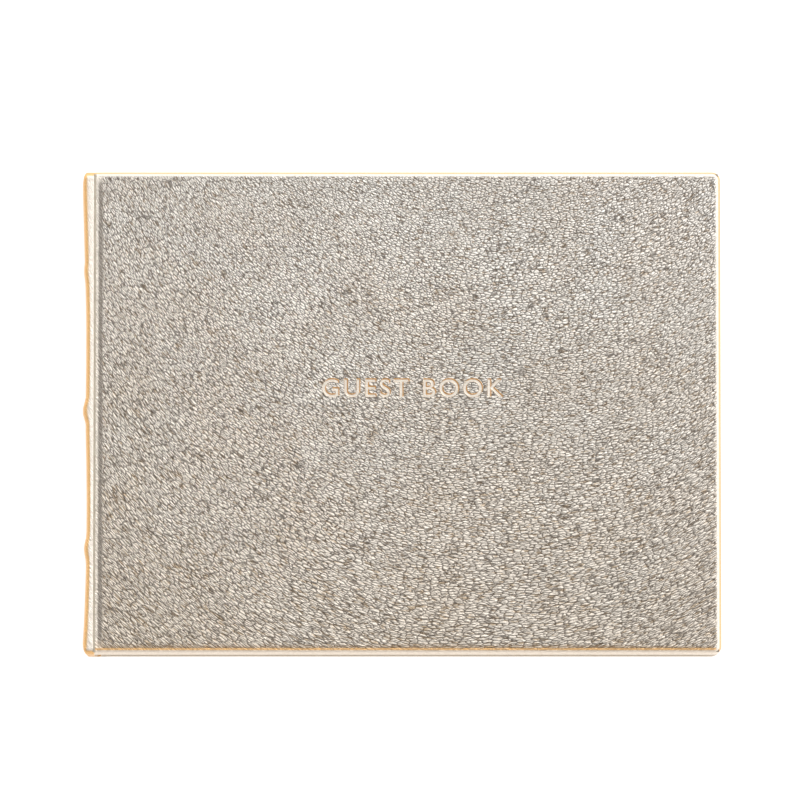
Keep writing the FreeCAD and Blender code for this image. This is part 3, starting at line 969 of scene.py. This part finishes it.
# %% The spine leather
spine_skin = draw_line("spine_skin", spine_line)
stations = end_stations(head_y - tail_y, cap_round, 12)
sweep(spine_skin, sorted(set(stations + [y * MM for y in range(-84, 85, 2)])))
for v in spine_skin.data.vertices:
    shape_spine(v)
take(spine_skin)
for side in (1, -1):  # a lip closes in a little at each end, and then tucks in behind the spine card
    choose(spine_skin, "EDGE", lambda e: all(near(v.co.y, side * head_y) for v in e.verts))
    bpy.ops.mesh.extrude_region_move()
    bpy.ops.transform.resize(value=(1, 1, 0.93), center_override=(arc_middle.x, 0, middle_height))
    bpy.ops.transform.translate(value=(0.7 * MM, -side * 0.5 * MM, 0))
    bpy.ops.mesh.extrude_region_move()
    bpy.ops.transform.translate(value=(0.3 * MM, -side * 2.0 * MM, 0))
put_down(spine_skin)
point_outwards(spine_skin, lambda place: Vector((-1, 0, 0)))
thicken(spine_skin, hide_thickness, even=False)
smooth(spine_skin, 60)
# painted reflection: gold where the spine's surface turns to the spine side, the head or the tail
mark(spine_skin, "painted_reflection", lambda v: max(-v.normal.x - 0.06, 0.7 * abs(v.normal.y) - 0.25) / 0.22)
mark(spine_skin, "taut", lambda v: 0.8)
spine_skin.data.materials.append(foil_leather)
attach(spine_skin, "text_block")
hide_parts("spine_leather")
print("spine faces:", len(spine_skin.data.polygons))

# %% [markdown]
# ## Paper
# The leaves are an ivory laid paper and the endpapers a smoother, warmer one. Both have the same soft
# fibre, as one node group with its own values, since noise never repeats as an image would. The three
# trimmed edges of the leaves are gilded: thin gold leaf burnished on the cut paper, so it shows the
# lines between the sheets, which are a noise squeezed flat.

# %% Paper finishes
def paper(name, colour, fleck, fibre, depth):
    material, tree, shader, where = new_material(name, colour)
    fibres = place_group(tree, paper_fibre, {"Vector": where, "Fibre": fibre})
    cloud = place_group(tree, clouding, {"Vector": where, "Spread": 12.0})["Value"]
    tone = mix_colour(tree, math_node(tree, "MULTIPLY", cloud, 0.5), colour, tuple(c * 0.955 for c in colour))
    tree.links.new(mix_colour(tree, fibres["Fleck"], tone, fleck), shader.inputs["Base Color"])
    tree.links.new(remap(tree, fibres["Height"], 0.3, 0.7, 0.72, 0.9), shader.inputs["Roughness"])
    shader.inputs["Specular IOR Level"].default_value = 0.3
    raise_bumps(tree, shader, fibres["Height"], 0.5, depth)
    return material


page_paper = paper("ivory page paper", (0.76, 0.71, 0.61), (0.66, 0.60, 0.49), 0.45, 0.04 * MM)
endpaper = paper("warm endpaper", (0.70, 0.63, 0.52), (0.58, 0.50, 0.39), 0.6, 0.05 * MM)
print("papers:", page_paper.name, "and", endpaper.name)

# %% Gilt edges
gilt_edge, tree, shader, where = new_material("gilt page edge", (0.85, 0.66, 0.36))
squeezed = vector_math(tree, "MULTIPLY", where, (0.12e3, 0.12e3, 5.5e3))
sheet_lines = noise(tree, squeezed, 1.0, 2.0)["Fac"]
cloud = place_group(tree, clouding, {"Vector": where, "Spread": 9.0})["Value"]
gold = mix_colour(tree, cloud, (0.86, 0.68, 0.40), (0.78, 0.57, 0.30))
gold = mix_colour(tree, remap(tree, sheet_lines, 0.52, 0.7, 0.0, 0.5), gold, (0.55, 0.42, 0.27))
tree.links.new(gold, shader.inputs["Base Color"])
shader.inputs["Metallic"].default_value = 0.8
tree.links.new(remap(tree, sheet_lines, 0.3, 0.7, 0.3, 0.5), shader.inputs["Roughness"])
raise_bumps(tree, shader, sheet_lines, 0.6, 0.05 * MM)
print("gilt edge nodes:", len(tree.nodes))

# %% [markdown]
# ## The sections
# The leaves are folded sheets, four nested in each other for each sewn section, and nine sections. A
# block with lines on its edges would do for a shut book, but this one opens. So one folded sheet is
# drawn as a line round its fold and swept from tail to head, then copied; each copy is moved in code to
# its own height and depth of fold, and its cut edge is let in or out by a hair, as trimmed sheets are.

# %% One folded sheet
leaf_thick, leaf_pitch, sheets_in_section = 0.17 * MM, 0.19 * MM, 4
fore_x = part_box("section_5")[1].x
leaf_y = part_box("section_5")[1].y
fold_squash = 1000  # the fold is drawn this much flatter, and each copy rounds it to its own height


def master_sheet():
    """A sheet folded at x = 0, with leaves at heights 1 and -1 that reach to x = 1. Copies are scaled."""
    reach = [1.0, 0.8, 0.6, 0.4, 0.25, 0.15, 0.1, 0.08] + [0.07 - 0.07 * i / 18 for i in range(18)]
    upper = [Vector((x, -leaf_y, 1)) for x in reach]
    angles = [math.pi * i / 10 for i in range(11)]
    turn = [Vector((-math.sin(a) / fold_squash, -leaf_y, math.cos(a))) for a in angles]
    lower = [Vector((p.x, p.y, -1)) for p in reversed(upper)]
    obj = draw_line("folded sheet", upper + turn + lower)
    sweep(obj, [-leaf_y + 2 * leaf_y * i / 12 for i in range(13)])
    return obj


sheet_master = master_sheet()
print("one sheet:", len(sheet_master.data.polygons), "faces")

# %% A sheet of its own size
def folded_sheet(name, fold_x, z_low, z_high, edge_x):
    """A copy of the folded sheet, set to its own fold, heights and cut edge."""
    obj = sheet_master.copy()
    obj.data = sheet_master.data.copy()
    obj.name = name
    bpy.context.scene.collection.objects.link(obj)
    radius = (z_high - z_low) / 2
    straight = fold_x + radius
    for v in obj.data.vertices:
        if v.co.x < 0:
            v.co.x = straight + v.co.x * fold_squash * radius
        else:
            v.co.x = straight + v.co.x * (edge_x - straight)
        v.co.z = (z_low + z_high) / 2 + v.co.z * radius
    return obj


print("sheets in a section are", round(leaf_pitch / MM, 2), "mm apart")

# %% A section of four sheets
hair = random.Random(9)


def gathered(node):
    """Four sheets nested in the room that the frame gives the section, joined into one piece."""
    box_low, box_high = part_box(node)
    sheets = []
    for i in range(sheets_in_section):
        inset = leaf_thick / 2 + i * leaf_pitch
        sheets.append(folded_sheet(
            f"{node}_sheet_{i + 1}", box_low.x + inset, box_low.z + inset, box_high.z - inset,
            fore_x - hair.uniform(0.0, 0.12) * MM,
        ))
    pick_nothing()
    for sheet in sheets:
        sheet.select_set(True)
    bpy.context.view_layer.objects.active = sheets[0]
    bpy.ops.object.join()
    obj = bpy.context.object
    obj.name = f"{node}_sheets"
    point_outwards(obj, lambda place: Vector((0, 0, 1 if place.z > (box_low.z + box_high.z) / 2 else -1)))
    thicken(obj, leaf_thick, offset=0.0)
    return smooth(obj, 50)


print("sheets in a section:", sheets_in_section)

# %% Nine sections
def section(number):
    """One section with its paper and its gilt edges; the fifth goes with the text block's body."""
    node = f"section_{number}"
    obj = gathered(node)
    obj.data.materials.append(page_paper)
    obj.data.materials.append(gilt_edge)
    for face in obj.data.polygons:
        if abs(face.normal.y) > 0.9 or (face.normal.x > 0.9 and face.center.x > fore_x - 1 * MM):
            face.material_index = 1
    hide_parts(node)
    if number == 5:
        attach(obj, "text_block")
    else:
        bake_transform(obj)
    return obj


sections = [section(number) for number in range(1, 10)]
bpy.data.objects.remove(sheet_master)
print("section faces:", [len(s.data.polygons) for s in sections])

# %% [markdown]
# ## Endpapers
# At each end of the book one stout sheet is folded in two: one half is pasted down inside the cover,
# over the edges of the turn-ins, and the other is the first free leaf. A thin block would crack at the
# joint, so each half is a line with many points near the fold, swept from tail to head and given the
# paper's thickness. The pastedown runs from the board across the joint to the fold.

# %% Pastedowns and flyleaves
endpaper_fold, endpaper_thick, endpaper_rows = -113.0 * MM, 0.22 * MM, 12


def paper_leaf(name, node):
    box_low, box_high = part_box(node)
    height = (box_low.z + box_high.z) / 2
    xs = [endpaper_fold + (-103.0 * MM - endpaper_fold) * i / 22 for i in range(23)]
    xs += [-90 * MM, -60 * MM, -30 * MM, 0.0, 30 * MM, 60 * MM, 90 * MM, box_high.x]
    obj = draw_line(name, [Vector((x, box_low.y, height)) for x in xs])
    sweep(obj, [box_low.y + (box_high.y - box_low.y) * i / endpaper_rows for i in range(endpaper_rows + 1)])
    point_outwards(obj, lambda place: Vector((0, 0, 1)))
    thicken(obj, endpaper_thick, offset=0.0)
    smooth(obj, 40)
    obj.data.materials.append(endpaper)
    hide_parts(node)
    return obj


for side in ("front", "back"):
    pastedown = paper_leaf(f"{side}_pastedown_sheet", f"{side}_pastedown")
    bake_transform(pastedown)
    flyleaf = paper_leaf(f"{side}_flyleaf_sheet", f"{side}_flyleaf")
    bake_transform(flyleaf)
print("endpapers done")

# %% [markdown]
# ## Endbands
# A little roll of silk thread is sewn over a core at the head and the tail of the spine. Winding real
# turns would take thousands of faces for a piece that hardly shows. A curve is lighter: it is drawn
# along the spine and beveled round, and as each of its points has its own radius, each turn of thread
# is a ridge on it. The thread changes colour every few turns, champagne and white.

# %% Silk
thread_pitch = 0.42 * MM

endband_silk, tree, shader, where = new_material("endband silk", (0.8, 0.7, 0.5))
turns = math_node(tree, "MULTIPLY", add(tree, "SeparateXYZ", {0: where}).outputs["Z"], 1 / thread_pitch)
stripe = math_node(tree, "FRACT", math_node(tree, "DIVIDE", turns, 6.0))
stripe = remap(tree, stripe, 0.48, 0.52)
thread = math_node(tree, "ABSOLUTE", math_node(tree, "SINE", math_node(tree, "MULTIPLY", turns, math.pi)))
silk = mix_colour(tree, stripe, (0.80, 0.66, 0.44), (0.88, 0.86, 0.80))
silk = mix_colour(tree, remap(tree, thread, 0.0, 0.5, 0.6, 0.0), silk, (0.25, 0.18, 0.11))
tree.links.new(silk, shader.inputs["Base Color"])
tree.links.new(remap(tree, thread, 0.0, 1.0, 0.6, 0.35), shader.inputs["Roughness"])
shader.inputs["Sheen Weight"].default_value = 0.4
raise_bumps(tree, shader, thread, 0.8, 0.1 * MM)
print("silk nodes:", len(tree.nodes))

# %% Wound endbands
def endband(name, node, steps=150):
    box_low, box_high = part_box(node)
    middle_y = (box_low.y + box_high.y) / 2
    radius = (box_high.y - box_low.y) / 2 - 0.02 * MM
    half = (box_high.z - box_low.z) / 2 - 0.1 * MM
    reach = arc_middle.x - (box_low.x + radius)
    swing = math.asin(half / reach)
    angles = [swing * (2 * i / steps - 1) for i in range(steps + 1)]
    points = [
        Vector((arc_middle.x - reach * math.cos(a), middle_y, middle_height + reach * math.sin(a)))
        for a in angles
    ]
    pick_nothing()
    bpy.ops.curve.primitive_nurbs_path_add()
    curve = bpy.context.object
    curve.name = name
    curve.data.splines.clear()
    line = curve.data.splines.new("POLY")
    line.points.add(steps)
    for point, place in zip(line.points, points):
        point.co = (*place, 1)
        point.radius = 0.86 + 0.14 * abs(math.sin(math.pi * place.z / thread_pitch))
    curve.data.dimensions = "3D"
    curve.data.bevel_depth = radius
    curve.data.bevel_resolution = 5
    curve.data.use_fill_caps = True
    bpy.ops.object.convert(target="MESH")
    obj = bpy.context.object
    smooth(obj, 60)
    obj.data.materials.append(endband_silk)
    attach(obj, "text_block")
    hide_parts(node)
    return obj


for side in ("head", "tail"):
    band = endband(f"{side}_endband_silk", f"{side}_endband")
    print(band.name, len(band.data.polygons), "faces")

# %% [markdown]
# ## What the leather hides
# The boards, the strip that fills the spine, the cords under the bands, the sewing tapes, the thread
# and the mull come from the CAD as they are, and keep their shapes. They only need their own finishes:
# grey-brown pressed board, open cotton mull, and linen for the tapes and the thread.

# %% Board, card, mull and linen
def board_finish(name, colour, dark, fibre):
    material, tree, shader, where = new_material(name, colour)
    fibres = place_group(tree, paper_fibre, {"Vector": where, "Fibre": fibre})
    cloud = place_group(tree, clouding, {"Vector": where, "Spread": 3.0})["Value"]
    tone = mix_colour(tree, math_node(tree, "MULTIPLY", cloud, 0.6), colour, dark)
    tree.links.new(mix_colour(tree, fibres["Fleck"], tone, dark), shader.inputs["Base Color"])
    tree.links.new(remap(tree, fibres["Height"], 0.3, 0.7, 0.8, 0.95), shader.inputs["Roughness"])
    raise_bumps(tree, shader, fibres["Height"], 0.7, 0.08 * MM)
    return material


def woven_finish(name, colour, gap, thread):
    material, tree, shader, where = new_material(name, colour)
    weave = place_group(tree, plain_weave, {"Vector": where, "Thread": thread})
    cloud = place_group(tree, clouding, {"Vector": where, "Spread": 4.0})["Value"]
    tone = mix_colour(tree, math_node(tree, "MULTIPLY", cloud, 0.4), colour, tuple(c * 0.85 for c in colour))
    tree.links.new(mix_colour(tree, weave["Gap"], tone, gap), shader.inputs["Base Color"])
    tree.links.new(remap(tree, weave["Height"], 0.0, 1.0, 0.95, 0.75), shader.inputs["Roughness"])
    raise_bumps(tree, shader, weave["Height"], 0.8, 0.12 * MM)
    return material


grey_board = board_finish("pressed board", (0.36, 0.31, 0.25), (0.20, 0.17, 0.13), 0.4)
spine_card = board_finish("spine card", (0.52, 0.46, 0.37), (0.34, 0.29, 0.22), 0.3)
mull_cloth = woven_finish("cotton mull", (0.78, 0.74, 0.64), (0.45, 0.40, 0.31), 0.7)
linen_tape = woven_finish("linen thread", (0.74, 0.68, 0.55), (0.42, 0.36, 0.27), 0.35)

finish_of = {
    "board": grey_board, "infill": grey_board, "inlay": spine_card, "band": spine_card, "lining": spine_card,
    "mull": mull_cloth, "tape": linen_tape, "stitch": linen_tape,
}
for name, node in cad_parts.items():
    if node.hide_render:
        continue
    finish = next((finish_of[word] for word in reversed(name.split("_")) if word in finish_of), grey_board)
    node.data.materials.clear()
    node.data.materials.append(finish)
    print(name, "->", finish.name)

# %% [markdown]
# ## The size of what shows
# The box of everything that shows is printed last, after the CAD's size printed at the start, to see
# that no piece outgrew the book.

# %% The size of what shows
bpy.context.view_layer.update()
low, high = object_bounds()
print("shown size in millimetres:", [round(side / MM, 2) for side in high - low])
